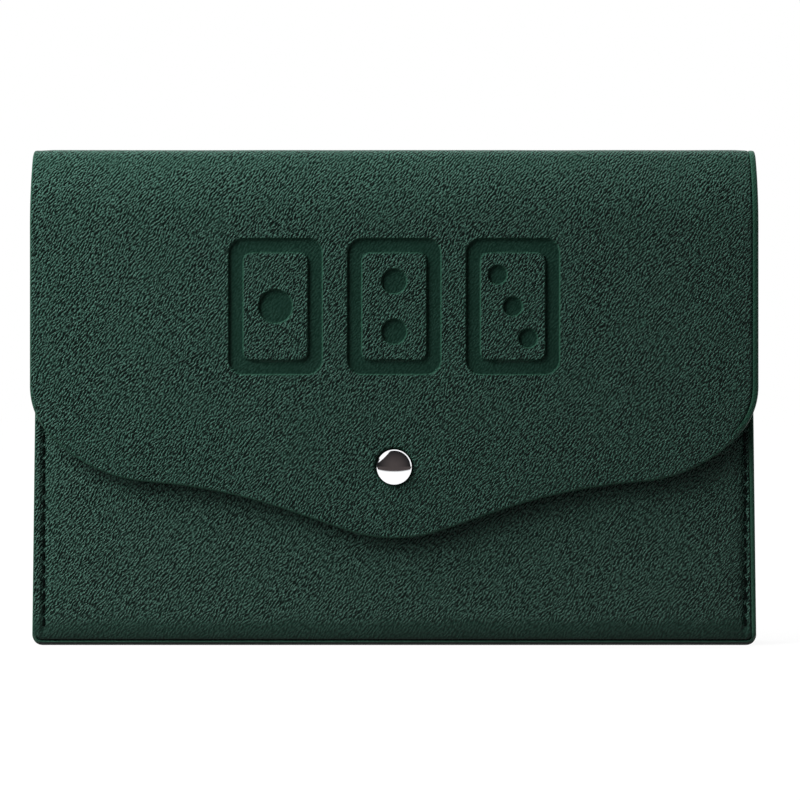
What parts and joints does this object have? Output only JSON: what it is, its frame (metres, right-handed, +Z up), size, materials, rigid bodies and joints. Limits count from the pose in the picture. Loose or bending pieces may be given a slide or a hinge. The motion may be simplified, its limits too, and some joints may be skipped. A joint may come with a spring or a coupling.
{
  "type": "card organizer case",
  "caption": "Slim upright card organizer pouch in dark green grained leather, with folding side gussets, divider, clear card pocket and a scalloped flap closed by a chrome press stud.",
  "frame": {"origin": "on the table, under the middle of the closed case standing on its base", "axes": "+X across the case to the right seen from the front, the front and its flap face -Y, +Z up"},
  "size_m": [0.22, 0.021, 0.151],
  "materials": {
    "grained_leather": "satin",
    "edge_leather": "satin",
    "stiffening_board": "matte",
    "lining_suede": "matte",
    "divider_fabric": "matte",
    "clear_film": "gloss",
    "thread": "matte",
    "cap_chrome": "polished",
    "stud_nickel": "satin",
    "spring_steel": "satin"
  },
  "bodies": {
    "pouch": {"back_leather": "grained_leather", "front_leather": "grained_leather", "left_gusset": "edge_leather", "right_gusset": "edge_leather", "base_strip": "edge_leather", "back_board": "stiffening_board", "front_board": "stiffening_board", "base_board": "lining_suede", "back_lining": "lining_suede", "front_lining": "lining_suede", "divider": "divider_fabric", "card_pocket": "clear_film", "left_front_stitches": "thread", "right_front_stitches": "thread", "left_back_stitches": "thread", "right_back_stitches": "thread", "snap_stud": "stud_nickel", "snap_post": "stud_nickel"},
    "flap": {"flap_leather": "grained_leather", "flap_board": "stiffening_board", "flap_lining": "lining_suede", "snap_cap": "cap_chrome", "snap_socket": "stud_nickel", "snap_spring": "spring_steel"}
  },
  "joints": [
    {"name": "flap_fold", "type": "hinge", "parent": "pouch", "child": "flap", "pos_m": [0, 0.00088, 0.15105], "axis": [-1, 0, 0], "range_deg": [0, 180]}
  ]
}
